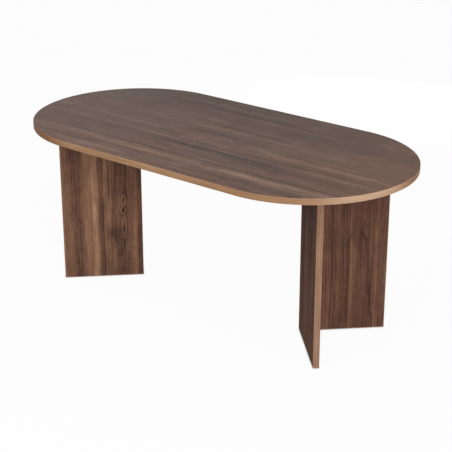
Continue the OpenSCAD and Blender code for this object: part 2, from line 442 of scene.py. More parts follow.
@dataclass(frozen=True)
class Knot:
    """A small oval knot with a dark heart, a light rim and a dark outline."""

    centre: float
    height: float
    half_width: float
    half_length: float
    tone: float
    heart: float = 1.0
    rim: float = 0.2
    outline: float = 0.3
    bend: float = 0.5
    waver: float = 0.55
    waver_rates: Rates = (70.0, 110.0)

    def push(self, spot: Spot) -> Signal:
        """How far the grain is pushed aside where it flows round the knot."""
        away = spot.oval(self.centre, self.height, self.half_width * 4, self.half_length * 1.8)
        return (spot.across - self.centre) * (1 - away.smooth(0.0, 1.0)) * -self.bend

    def paint(self, spot: Spot) -> Signal:
        """The knot's tone.

        Args:
            spot: the place on the board.

        Returns:
            The tone, 0 away from the knot.
        """
        uneven = spot.grain(self.waver_rates, self.height) * self.waver

        # The heart, the rim and the outline follow each other outwards, with the knot's edge at 1
        ring = spot.oval(self.centre, self.height, self.half_width, self.half_length) ** 0.5 + uneven
        heart = (1 - ring.smooth(0.0, 0.75)) * self.heart
        rim = ring.smooth(0.55, 0.85) * (1 - ring.smooth(0.85, 1.1)) * self.rim
        outline = ring.smooth(0.9, 1.15) * (1 - ring.smooth(1.15, 1.9)) * self.outline
        return (rim - heart - outline) * self.tone


@dataclass(frozen=True)
class Arch:
    """The line of an arch, as where a board is cut along the heart of the tree."""

    centre: float
    peak: float
    half_width: float
    crown: float
    line: float
    tone: float
    lean: float
    drift: float
    waver: float = 0.022
    waver_rates: Rates = (9.0, 14.0)

    def paint(self, spot: Spot) -> Signal:
        """The arch's tone.

        Args:
            spot: the place on the board.

        Returns:
            The tone, 0 away from the arch's line.
        """
        uneven = spot.grain(self.waver_rates, self.peak) * self.waver
        below = (self.peak - spot.along).larger(0.0)
        aside = abs(spot.across - self.centre - below * self.drift + uneven)
        turn = (below / self.crown).smaller(1.0)
        side = (turn * (2 - turn)) ** 0.5 * self.half_width + below * self.lean
        line = 1 - abs(aside - side).smooth(self.line * 0.2, self.line)
        return line * (1 - spot.along.smooth(self.peak, self.peak + self.line)) * self.tone


@dataclass(frozen=True)
class Ripple:
    """A patch of fine bars across the grain, as in curly wood."""

    centre: float
    height: float
    half_width: float
    half_length: float
    period: float
    tone: float
    wander: float = 20.0
    wander_rates: Rates = (20.0, 22.0)

    def paint(self, spot: Spot) -> Signal:
        """The ripple's tone.

        Args:
            spot: the place on the board.

        Returns:
            The tone, 0 away from the patch.
        """
        away = spot.oval(self.centre, self.height, self.half_width, self.half_length) ** 0.5
        wander = spot.grain(self.wander_rates, self.height, 2.0) * self.wander
        bars = (spot.along * (2 * math.pi / self.period) + wander).sine()
        return bars * (1 - away.smooth(0.3, 1.0)) * self.tone


Mark = Union[Streak, Knot, Arch, Ripple]


@dataclass(frozen=True)
class GrainLayer:
    """One size of the streaks that fill the print."""

    width: float
    length: float
    tone: float
    detail: float = 1.0
    roughness: float = 0.6

    def paint(self, spot: Spot, seed: Operand) -> Signal:
        """The layer's tone at a place on the board, about zero, for a number that sets it apart."""
        rates = (1 / self.length, 1 / self.width)
        return spot.grain(rates, seed, self.detail, self.roughness) * self.tone


@dataclass(frozen=True)
class PaintedLightPatch:
    """A round part of a surface, seen in plan, with painted light or shade: tinted lighter or darker, fully
    so in its core.
    """

    x: float
    y: float
    radius: float
    shade: Colour
    share: float
    core: float = 0.2

    def paint(self, surface: Surface, colour: NodeSocket) -> NodeSocket:
        """Paints light or shade into the colour within the patch.

        Args:
            surface: the graph that the patch is added to.
            colour: the colour of the surface.

        Returns:
            The tinted colour's socket.
        """
        plan = surface.vector("MULTIPLY", Vector=surface.place, Vector_001=(1, 1, 0))
        away = surface.vector("DISTANCE", Vector=plan.outputs["Vector"], Vector_001=(self.x, self.y, 0))
        distance = Signal(surface, away.outputs["Value"])
        inside = 1 - distance.smooth(self.radius * self.core, self.radius)
        return surface.blend(inside * self.share, colour, self.shade)


# The inks of the print that all boards share, from the darkest streak to the middle tone
DARK_INKS: Stops = ((0.0, tint(48, 35, 29)), (0.2, tint(72, 53, 43)), (0.5, tint(105, 78, 62)))


@dataclass(frozen=True)
class WalnutPrint:
    """The walnut-look laminate on both faces of one board, over a core of pressed chips."""

    name: str
    board: BoardFrame
    seed: float
    outer: tuple[Mark, ...] = ()
    inner: tuple[Mark, ...] = ()
    # A cast over the whole board: painted light and shade, with some tone of the board's own
    tone_and_painted_light: Colour = WHITE
    painted_light_patches: tuple[PaintedLightPatch, ...] = ()
    contrast: float = 1.0
    gloss: float = 0.02
    roughness: float = 0.7
    layers: tuple[GrainLayer, ...] = (
        GrainLayer(0.110, 1.300, 0.7),
        GrainLayer(0.034, 0.900, 0.7, 2.0),
        GrainLayer(0.011, 0.500, 0.9, 2.0),
        GrainLayer(0.0038, 0.300, 1.8),
        GrainLayer(0.045, 0.110, 1.2, 2.0),
        GrainLayer(0.014, 0.030, 0.8, 2.0),
    )

    inks: Stops = DARK_INKS + ((0.8, tint(138, 107, 82)), (1.0, tint(160, 130, 101)))
    cool: Colour = tint(251, 243, 249)
    pore: Colour = tint(44, 30, 24)

    # How far the grain sways and wavers to the side, and at what rates
    sway: float = 0.030
    sway_rates: Rates = (1.1, 4.0)
    waver: float = 0.004
    waver_rates: Rates = (11.0, 14.0)

    # The fine hairs, the pores, the turns from warm to cool, the swell of the figure and the smudges
    hair_tone: float = 0.9
    hair_rates: Rates = (16.0, 900.0)
    pore_share: float = 0.35
    pore_step: tuple[float, float] = (0.10, 0.24)
    pore_rates: Rates = (48.0, 1300.0)
    warmth_swing: float = 2.2
    warmth_rates: Rates = (1.6, 17.0)
    figure_swing: float = 1.4
    figure_rates: Rates = (7.0, 38.0)
    smudge_rates: Rates = (5.0, 6.0)

    # What sets the noise of the inner face, of each layer of streaks and of each pattern apart
    inner_seed: float = 7.3
    layer_seed: float = 3.7
    warmth_seed: float = 31.0
    figure_seed: float = 57.0
    smudge_seed: float = 11.0

    # The span of tones that the inks cover, and how square to the board a printed face is
    ink_span: float = 3.0
    squareness: float = 0.7

    # The core: its chips, and how many of them lie in a metre
    chips: Stops = (
        (0.0, tint(120, 90, 60)),
        (0.5, tint(176, 144, 104)),
        (1.0, tint(212, 184, 144)),
    )
    chip_count: float = 520.0

    def material(self) -> Material:
        """Builds the laminate's material.

        Returns:
            The material.
        """
        surface = Surface(self.name)
        board = self.board
        inside = board.reach(surface, board.through).above(board.thickness / 2)
        faces = ((self.outer, 1 - inside), (self.inner, inside))
        seed = inside * self.inner_seed + self.seed

        straight = Spot(board.reach(surface, board.along), board.reach(surface, board.across))
        across = straight.across + straight.grain(self.sway_rates, seed) * self.sway
        across = across + straight.grain(self.waver_rates, seed) * self.waver
        swayed = Spot(straight.along, across)
        for marks, share in faces:
            for mark in marks:
                if isinstance(mark, Knot) and mark.bend:
                    across = mark.push(swayed) * share + across
        bent = Spot(straight.along, across)

        hair = bent.grain(self.hair_rates, seed)
        pores = swayed.grain(self.pore_rates, seed).smooth(*self.pore_step)
        tone = self._figure(swayed, bent, faces, seed) + hair * self.hair_tone
        ink = surface.ramp(tone * (self.contrast / self.ink_span) + 0.5, self.inks)
        warmth = swayed.grain(self.warmth_rates, seed + self.warmth_seed) * self.warmth_swing + 0.5
        ink = surface.blend(warmth, ink, surface.blend(1.0, ink, self.cool, "MULTIPLY"))
        # The cast: painted light and shade over the whole board, with some tone of its own
        ink = surface.blend(1.0, ink, self.tone_and_painted_light, "MULTIPLY")
        # Round patches of painted light and shade: painted sheen, shade and warmer light
        for patch in self.painted_light_patches:
            ink = patch.paint(surface, ink)
        ink = surface.blend(pores * self.pore_share, ink, self.pore)

        face = abs(surface.dot(surface.normal, board.through)).above(self.squareness)
        smudge = swayed.grain(self.smudge_rates, seed + self.smudge_seed, 2.0)
        rough = smudge * 0.16 + hair * 0.10 + pores * 0.12 + self.roughness
        return surface.finish(
            Base_Color=surface.blend(face, self._core(surface), ink),
            Roughness=(rough + (1 - face) * 0.4).smaller(1.0),
            Specular_IOR_Level=self.gloss,
            Normal=surface.bump((hair * 0.6 - pores) * face, depth=0.05 * MM, strength=0.6),
        )

    def _figure(
        self, swayed: Spot, bent: Spot, faces: Iterable[tuple[tuple[Mark, ...], Signal]], seed: Signal
    ) -> Signal:
        """Adds up the streaks that fill the print and the marks of each face.

        Args:
            swayed: the place on the board, drawn aside as the grain sways.
            bent: the same place, pushed aside round the knots too.
            faces: the marks of each face, and a value that is 1 on that face and 0 on the other.
            seed: a number that sets this face apart from the others.

        Returns:
            The tone, about zero.
        """
        tone: Operand = 0.0
        for index, layer in enumerate(self.layers):
            tone = layer.paint(bent, seed + index * self.layer_seed) + tone
        uneven = swayed.grain(self.figure_rates, seed + self.figure_seed, 2.0) * self.figure_swing + 1
        for marks, share in faces:
            for mark in marks:
                spot = swayed if isinstance(mark, Knot) else bent
                tone = mark.paint(spot) * (share * uneven) + tone
        return tone

    def _core(self, surface: Surface) -> NodeSocket:
        """The colour of the pressed chips, which show on cut edges and in bores.

        Args:
            surface: the graph that the colour is added to.

        Returns:
            The colour's socket.
        """
        inputs = {"Vector": surface.place, "Scale": self.chip_count}
        chips = surface.node("ShaderNodeTexVoronoi", None, inputs)
        shade = surface.node("ShaderNodeSeparateColor", None, {"Color": chips.outputs["Color"]})
        return surface.ramp(Signal(surface, shade.outputs["Red"]), self.chips)


@dataclass(frozen=True)
class TanBand:
    """The tan edge band: fine crisp grain along a strip."""

    name: str
    fine: tuple[Vector, ...]
    edge: Vector
    light: Colour = tint(190, 150, 114)
    dark: Colour = tint(150, 113, 84)
    pore: Colour = tint(104, 74, 53)
    # The pale colour of the rubbed arrises, which is also a painted highlight along them
    worn: Colour = tint(218, 182, 150)
    gloss: float = 0.03
    painted_light_patches: tuple[PaintedLightPatch, ...] = ()
    streak_rates: Rates = (5.0, 420.0)
    hair_rates: Rates = (22.0, 1900.0)
    cloud_rates: Rates = (7.0, 30.0)
    dash_rates: Rates = (60.0, 1500.0)
    dash_step: tuple[float, float] = (0.12, 0.24)
    dash_share: float = 0.4
    arris_wear_and_highlight_step: tuple[float, float] = (0.1, 0.4)
    arris_wear_and_highlight_share: float = 0.8

    def material(self) -> Material:
        """Builds the band's material.

        Returns:
            The material.
        """
        surface = Surface(self.name)
        streak = surface.noise(self._stretched(surface, self.streak_rates), 2.0, 0.6)
        hair = surface.noise(self._stretched(surface, self.hair_rates))
        cloud = surface.noise(self._stretched(surface, self.cloud_rates))
        colour = surface.blend(streak * 1.9 + hair * 0.7 + cloud * 0.8 + 0.5, self.dark, self.light)
        dashes = surface.noise(self._stretched(surface, self.dash_rates)).smooth(*self.dash_step)
        colour = surface.blend(dashes * self.dash_share, colour, self.pore)
        # The arrises are painted paler: wear, and a painted highlight along their rounding
        slant = abs(surface.dot(surface.normal, self.edge))
        rubbed_and_highlit = slant.smooth(*self.arris_wear_and_highlight_step) * (cloud * 0.8 + 0.6)
        colour = surface.blend(rubbed_and_highlit * self.arris_wear_and_highlight_share, colour, self.worn)
        # Round patches of painted light and shade: a painted highlight and painted shade
        for patch in self.painted_light_patches:
            colour = patch.paint(surface, colour)
        return surface.finish(
            Base_Color=colour,
            Roughness=hair * 0.12 + cloud * 0.15 - rubbed_and_highlit * 0.1 + 0.40,
            Specular_IOR_Level=self.gloss,
            Normal=surface.bump(hair * 0.5 - dashes, depth=0.04 * MM, strength=0.6),
        )

    def _stretched(self, surface: Surface, rates: Rates) -> NodeSocket:
        """The place on the band, stretched along its grain.

        Args:
            surface: the graph that the place is added to.
            rates: how often the pattern changes along the grain and across it.

        Returns:
            The stretched place's socket.
        """
        slow, quick = rates
        where = surface.vector("SCALE", Vector=surface.place, Scale=slow).outputs["Vector"]
        for direction in self.fine:
            reach = surface.dot(surface.place, direction)
            where = surface.push(where, direction, reach * (quick - slow))
        return where


@dataclass(frozen=True)
class BareBeech:
    """Turned beech dowels: pale, with short brown flecks along the dowel."""

    name: str
    along: Vector
    pale: Colour = tint(214, 178, 132)
    brown: Colour = tint(176, 134, 92)
    fleck_rate: float = 900.0
    fleck_step: tuple[float, float] = (0.35, 0.7)
    stretch: float = 0.94

    def material(self) -> Material:
        """Builds the beech's material.

        Returns:
            The material.
        """
        surface = Surface(self.name)
        run = surface.dot(surface.place, self.along)
        where = surface.push(surface.place, self.along, run * -self.stretch)
        fleck = surface.texture("ShaderNodeTexNoise", Vector=where, Scale=self.fleck_rate, Detail=3.0)
        return surface.finish(
            Base_Color=surface.blend(fleck.smooth(*self.fleck_step), self.pale, self.brown),
            Roughness=fleck * 0.2 + 0.6,
            Normal=surface.bump(fleck, depth=0.08 * MM, strength=0.5),
        )


@dataclass(frozen=True)
class ZincSteel:
    """Zinc-plated steel, a little cloudy and finely scratched."""

    name: str
    bright: Colour = tint(206, 208, 212)
    cloudy: Colour = tint(160, 163, 168)
    cloud_rate: float = 260.0
    cloud_step: tuple[float, float] = (0.35, 0.65)
    scratch_rate: float = 2200.0

    def material(self) -> Material:
        """Builds the metal's material.

        Returns:
            The material.
        """
        surface = Surface(self.name)
        cloud = surface.texture("ShaderNodeTexNoise", Scale=self.cloud_rate, Detail=4.0)
        scratch = surface.texture("ShaderNodeTexNoise", Scale=self.scratch_rate)
        return surface.finish(
            Base_Color=surface.blend(cloud.smooth(*self.cloud_step), self.bright, self.cloudy),
            Metallic=1.0,
            Roughness=cloud * 0.25 + scratch * 0.12 + 0.15,
            Normal=surface.bump(scratch, depth=0.02 * MM, strength=0.5),
        )


@dataclass(frozen=True)
class MouldedPlastic:
    """Moulded plastic with a fine grained skin."""

    name: str
    base: Colour
    worn: Colour
    roughness: float
    grain: float
    cloud_rate: float = 180.0
    cloud_step: tuple[float, float] = (0.4, 0.75)
    wear: float = 0.6

    def material(self) -> Material:
        """Builds the plastic's material.

        Returns:
            The material.
        """
        surface = Surface(self.name)
        cloud = surface.texture("ShaderNodeTexNoise", Scale=self.cloud_rate, Detail=3.0)
        skin = surface.texture("ShaderNodeTexVoronoi", "Distance", Scale=self.grain)
        return surface.finish(
            Base_Color=surface.blend(cloud.smooth(*self.cloud_step) * self.wear, self.base, self.worn),
            Roughness=cloud * 0.2 + self.roughness,
            Normal=surface.bump(skin, depth=0.06 * MM, strength=0.4),
        )


def circle(centre: PlanPoint, radius: float, count: int) -> list[PlanPoint]:
    """The points of a circle in plan, against the clock."""
    turns = [2 * math.pi * index / count for index in range(count)]
    return [(centre[0] + radius * math.cos(turn), centre[1] + radius * math.sin(turn)) for turn in turns]


def ring(mesh: BMesh, outline: Iterable[PlanPoint], height: float) -> list[BMVert]:
    """The vertices of a closed ring that is added to a mesh at one height."""
    return [mesh.verts.new((x, y, height)) for x, y in outline]


def wall(mesh: BMesh, first: Sequence[BMVert], second: Sequence[BMVert]) -> None:
    """Joins two closed rings of vertices with four-sided faces.

    Args:
        mesh: the mesh that the faces are added to.
        first: the first ring.
        second: the second ring, with as many vertices.
    """
    for index in range(len(first)):
        after = (index + 1) % len(first)
        mesh.faces.new((first[index], first[after], second[after], second[index]))


def add_object(name: str, data: bpy.types.ID) -> Object:
    """Puts a new object in the scene.

    Args:
        name: the object's name.
        data: its mesh, light or camera.

    Returns:
        The object.
    """
    added = bpy.data.objects.new(name, data)
    bpy.context.scene.collection.objects.link(added)
    return added


def add_mesh(name: str, mesh: BMesh, material: Material) -> Object:
    """Puts a mesh in the scene.

    Args:
        name: the object's name.
        mesh: its mesh, which is freed.
        material: its material.

    Returns:
        The object.
    """
    data = bpy.data.meshes.new(name)
    mesh.to_mesh(data)
    mesh.free()
    data.materials.append(material)
    return add_object(name, data)


def make_piece(name: str, mesh: BMesh, material: Material) -> Object:
    """Turns a mesh into a finished piece that rides on the table.

    Args:
        name: the piece's name.
        mesh: its mesh, which is freed.
        material: its material.

    Returns:
        The piece.
    """
    bmesh.ops.recalc_face_normals(mesh, faces=mesh.faces)
    piece = add_mesh(name, mesh, material)
    piece.data.shade_smooth()
    piece.data.set_sharp_from_angle(angle=SHARP_ANGLE)
    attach(piece, ROOT)
    LOG.info("made %s", name)
    return piece


def dress(frame: Frame, node: str, material: Material) -> None:
    """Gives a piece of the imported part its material.

    Args:
        frame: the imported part.
        node: the piece's name.
        material: the material that it gets.
    """
    slots = frame["nodes"][node].material_slots
    if not slots:
        frame["nodes"][node].data.materials.append(material)
    for place in slots:
        place.material = material
    LOG.info("dressed %s", node)


@dataclass(frozen=True)
class TableSizes:
    """The driving sizes of the table."""

    length: float = 1.800
    width: float = 0.900
    height: float = 0.750
    top_thickness: float = 0.025
    leg_arm: float = 0.355
    leg_thickness: float = 0.025
    v_angle: float = math.radians(90)
    end_overhang: float = 0.212
    band_thickness: float = 0.002
    glue_line: float = 0.0001
    arris: float = 0.0009
    arris_steps: int = 5

    @property
    def underside(self) -> float:
        """The height of the top's lower face."""
        return self.height - self.top_thickness

    @property
    def half_straight(self) -> float:
        """Half the length of the top's straight sides."""
        return (self.length - self.width) / 2

    @property
    def corner(self) -> float:
        """The distance from the middle of the table to the outer corner of a leg."""
        return self.length / 2 - self.end_overhang - self.leg_arm * math.cos(self.v_angle / 2)

    def band_section(self, back: float, low: float, high: float) -> list[PlanPoint]:
        """The cross-section of an edge band, with its two outer arrises rounded.

        Args:
            back: how far out the band's glued side lies.
            low: where the band begins across the board's thickness.
            high: where it ends.

        Returns:
            For each corner how far out it lies, and where across the thickness.
        """
        centre_line = back + self.band_thickness - self.arris
        section = [(back, low)]
        for centre, start in ((low + self.arris, -90), (high - self.arris, 0)):
            for step in range(self.arris_steps + 1):
                turn = math.radians(start + 90 * step / self.arris_steps)
                out = centre_line + self.arris * math.cos(turn)
                section.append((out, centre + self.arris * math.sin(turn)))
        section.append((back, high))
        return section


@dataclass
class LegPanel:
    """One upright board of a leg, with the band on its free end and the one under its foot."""

    sizes: TableSizes
    side: Side
    arm: Arm
    outer: tuple[Mark, ...] = ()
    inner: tuple[Mark, ...] = ()
    # A cast over the panel's print: painted light and shade, with some tone of the panel's own
    tone_and_painted_light: Colour = WHITE
    band_light: Colour = tint(170, 133, 107)
    band_dark: Colour = tint(133, 102, 82)
    side_seed: float = 11.3
    arm_seed: float = 4.9
    first_seed: float = 40.0

    @property
    def name(self) -> str:
        """The start of the names of the panel's pieces."""
        return f"{self.side.name.lower()}_leg_{self.arm.name.lower()}"

    @property
    def seed(self) -> float:
        """A number that sets this panel's grain apart from that of the others."""
        return self.first_seed + self.side_seed * self.side.value + self.arm_seed * self.arm.value

    @property
    def outward(self) -> Vector:
        """The direction along the panel, from the leg's outer corner to the free end."""
        half = self.sizes.v_angle / 2
        return Vector((self.side.value * math.cos(half), self.arm.value * math.sin(half), 0))

    @property
    def through(self) -> Vector:
        """The direction through the panel, from its outer face to its inner one."""
        half = self.sizes.v_angle / 2
        return Vector((self.side.value * math.sin(half), -self.arm.value * math.cos(half), 0))

    @property
    def corner(self) -> Vector:
        """The leg's outer corner on the floor."""
        return Vector((self.side.value * self.sizes.corner, 0, 0))

    def plan(self, reach: float, depth: float) -> PlanPoint:
        """The point in plan at a reach along the panel from its outer corner, and a depth below its face."""
        spot = self.corner + self.outward * reach + self.through * depth
        return (spot.x, spot.y)

    def build(self, frame: Frame) -> None:
        """Makes the end band, and dresses the panel and its foot band.

        Args:
            frame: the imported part.
        """
        name = self.name
        board = BoardFrame(self.corner, UP, self.outward, self.through, self.sizes.leg_thickness)
        walnut = WalnutPrint(f"{name}_walnut", board, self.seed, self.outer, self.inner, self.tone_and_painted_light)
        dress(frame, f"{name}_panel", walnut.material())
        foot = TanBand(f"{name}_foot_band_tan", (self.through, UP), self.through)
        dress(frame, f"{name}_foot_band", foot.material())
        self._end_band(
            TanBand(
                f"{name}_end_band_tan",
                fine=(self.outward, self.through),
                edge=self.through,
                light=self.band_light,
                dark=self.band_dark,
            )
        )

    def _end_band(self, tan: TanBand) -> None:
        """Makes the band on the panel's free end, with its two outer arrises rounded.

        Args:
            tan: the band's finish.
        """
        node = f"{self.name}_end_band"
        low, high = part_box(node)
        back = self.sizes.leg_arm - self.sizes.band_thickness
        section = self.sizes.band_section(back, 0, self.sizes.leg_thickness)
        outline = [self.plan(reach, depth) for reach, depth in section]
        mesh = bmesh.new()
        foot = ring(mesh, outline, low[2])
        head = ring(mesh, outline, high[2])
        wall(mesh, foot, head)
        mesh.faces.new(foot)
        mesh.faces.new(head)
        piece = make_piece(f"{node}_rounded", mesh, tan.material())
        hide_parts(node)


@dataclass
class PanelLeg:
    """A V-shaped leg: two mitred panels, and the dowels, cam fittings and glides that they hold."""

    sizes: TableSizes
    side: Side
    panels: tuple[LegPanel, LegPanel]

    def build(self, frame: Frame) -> None:
        """Builds both panels and dresses the leg's fittings.

        Args:
            frame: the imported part.
        """
        for panel in self.panels:
            panel.build(frame)
        leg = f"{self.side.name.lower()}_leg"
        finishes = {
            "mitre_dowels": BareBeech(f"{leg}_mitre_beech", Vector((0, 1, 0))),
            "top_dowels": BareBeech(f"{leg}_top_beech", UP),
            "cam_bolts": ZincSteel(f"{leg}_cam_bolts_zinc"),
            "cam_locks": ZincSteel(f"{leg}_cam_locks_zinc"),
            "cam_caps": MouldedPlastic(f"{leg}_cap_brown", tint(74, 50, 40), tint(96, 68, 54), 0.38, 2600.0),
            "glides": MouldedPlastic(f"{leg}_glide_black", tint(30, 30, 31), tint(62, 61, 60), 0.45, 1800.0),
        }
        for fittings, finish in finishes.items():
            dress(frame, f"{leg}_{fittings}", finish.material())


@dataclass
class Bore:
    """A round blind hole in the underside of the top."""

    centre: PlanPoint
    radius: float
    depth: float
    segments: int = 32

    def cut(self, mesh: BMesh, level: float) -> list[BMVert]:
        """Adds the hole's wall and its end.

        Args:
            mesh: the top's mesh.
            level: the height of the underside.

        Returns:
            The ring at the hole's mouth.
        """
        outline = circle(self.centre, self.radius, self.segments)
        mouth = ring(mesh, outline, level)
        end = ring(mesh, outline, level + self.depth)
        wall(mesh, mouth, end)
        mesh.faces.new(end)
        return mouth


@dataclass
class Tabletop:
    """The obround top: its board, the edge band round it and the insert nuts in its underside."""

    sizes: TableSizes
    panels: Sequence[LegPanel]
    marks: tuple[Mark, ...]
    painted_light_patches: tuple[PaintedLightPatch, ...]
    band_painted_light_patches: tuple[PaintedLightPatch, ...]
    end_segments: int = 120
    seam_gap: float = 0.0002
    seam_place: float = 0.310

    # The bores over each panel: their places along it, and their radius and depth
    nut_places: tuple[float, float] = (0.085, 0.290)
    nut_bore: tuple[float, float] = (0.00505, 0.013)
    dowel_places: tuple[float, float] = (0.117, 0.258)
    dowel_bore: tuple[float, float] = (0.00405, 0.013)

    # The print on the board: its inks, and its streaks from the broadest to the finest
    inks: Stops = DARK_INKS + ((0.8, tint(138, 107, 87)), (1.0, tint(160, 130, 112)))
    layers: tuple[GrainLayer, ...] = (
        GrainLayer(0.110, 0.800, 0.8),
        GrainLayer(0.034, 0.420, 0.8, 2.0),
        GrainLayer(0.010, 0.320, 2.0, 2.0),
        GrainLayer(0.0045, 0.160, 2.0),
        GrainLayer(0.050, 0.090, 1.1, 2.0),
        GrainLayer(0.015, 0.040, 1.1, 2.0),
    )

    def build(self, frame: Frame) -> None:
        """Makes the board and its band, and dresses the insert nuts.

        Args:
            frame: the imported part.
        """
        self._board()
        self._band()
        for side in Side:
            node = f"tabletop_{side.name.lower()}_insert_nuts"
            dress(frame, node, ZincSteel(f"{node}_zinc").material())

    def _outline(self, radius: float) -> list[tuple[PlanPoint, PlanPoint]]:
        """Walks round the top against the clock, from the middle of the band's seam.

        Args:
            radius: the radius of the round ends.

        Returns:
            For each station its point and the outward direction there.
        """
        half = self.sizes.half_straight
        stations = [((self.seam_place, radius), (0.0, 1.0))]
        for centre, start in ((-half, 90), (half, 270)):
            for step in range(self.end_segments + 1):
                turn = math.radians(start + 180 * step / self.end_segments)
                out = (math.cos(turn), math.sin(turn))
                stations.append(((centre + radius * out[0], radius * out[1]), out))
        return stations

    def _board(self) -> None:
        """Makes the board, with a bore in its underside for each nut and dowel."""
        sizes = self.sizes
        radius = sizes.width / 2 - sizes.band_thickness - sizes.glue_line
        outline = [point for point, _ in self._outline(radius)]
        mesh = bmesh.new()
        foot = ring(mesh, outline, sizes.underside)
        rim = ring(mesh, outline, sizes.height)
        wall(mesh, foot, rim)
        mesh.faces.new(rim)
        edges = []
        for loop in [foot] + [bore.cut(mesh, sizes.underside) for bore in self._bores()]:
            edges += [mesh.edges.get((loop[index - 1], loop[index])) for index in range(len(loop))]
        bmesh.ops.triangle_fill(mesh, use_beauty=True, edges=edges, normal=(0, 0, -1))
        board = BoardFrame(
            UP * sizes.underside, Vector((1, 0, 0)), Vector((0, 1, 0)), UP, sizes.top_thickness
        )
        walnut = WalnutPrint(
            "tabletop_walnut",
            board,
            seed=5.0,
            inner=self.marks,
            painted_light_patches=self.painted_light_patches,
            contrast=0.86,
            gloss=0.16,
            roughness=0.5,
            layers=self.layers,
            inks=self.inks,
        )
        piece = make_piece("tabletop_board_laminated", mesh, walnut.material())
        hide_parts("tabletop_board")

    def _bores(self) -> list[Bore]:
        """The bores for the nuts and dowels over all four panels.

        Returns:
            The bores.
        """
        middle = self.sizes.leg_thickness / 2
        sets = ((self.nut_places, self.nut_bore), (self.dowel_places, self.dowel_bore))
        bores = []
        for panel in self.panels:
            for places, (radius, depth) in sets:
                bores += [Bore(panel.plan(place, middle), radius, depth) for place in places]
        return bores

    def _band(self) -> None:
        """Makes the edge band as one strip, bent round the board until its ends meet behind."""
        sizes = self.sizes
        stations = self._outline(sizes.width / 2 - sizes.band_thickness)
        (x, y), out = stations[0]
        stations[0] = ((x - self.seam_gap / 2, y), out)
        stations.append(((x + self.seam_gap / 2, y), out))
        section = sizes.band_section(0.0, sizes.underside, sizes.height)
        mesh = bmesh.new()
        rows = []
        for (x, y), out in stations:
            row = [(x + out[0] * reach, y + out[1] * reach, z) for reach, z in section]
            rows.append([mesh.verts.new(point) for point in row])
        for row, after in zip(rows, rows[1:]):
            wall(mesh, row, after)
        mesh.faces.new(rows[0])
        mesh.faces.new(rows[-1])
        tan = TanBand("tabletop_edge_band_tan", (UP,), UP, painted_light_patches=self.band_painted_light_patches)
        piece = make_piece("tabletop_edge_band_rounded", mesh, tan.material())
        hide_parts("tabletop_edge_band")


@dataclass
class SoftLamp:
    """A large square lamp, whose level is the brightness it gives a white card held square to it."""

    name: str
    place: Vector
    size: float
    level: float
    aim: Vector = field(default_factory=lambda: Vector((0, 0, 0.4)))

    def build(self) -> None:
        """Hangs the lamp."""
        data = bpy.data.lights.new(self.name, "AREA")
        data.shape = "SQUARE"
        data.size = self.size
        data.energy = self.level * (math.pi * (self.aim - self.place).length) ** 2
        self.hang(data)

    def hang(self, data: bpy.types.Light) -> None:
        """Puts the lamp in its place, facing the table.

        Args:
            data: the lamp's light.
        """
        lamp = add_object(self.name, data)
        lamp.location = self.place
        lamp.rotation_euler = (self.aim - self.place).to_track_quat("-Z", "Y").to_euler()
        lamp.visible_camera = False
        LOG.info("hung %s", self.name)


@dataclass
class BroadLamp(SoftLamp):
    """A lamp so far away that it lights the floor evenly. Its size is the angle it fills."""

    def build(self) -> None:
        """Hangs the lamp."""
        data = bpy.data.lights.new(self.name, "SUN")
        data.angle = self.size
        data.energy = self.level * math.pi
        self.hang(data)


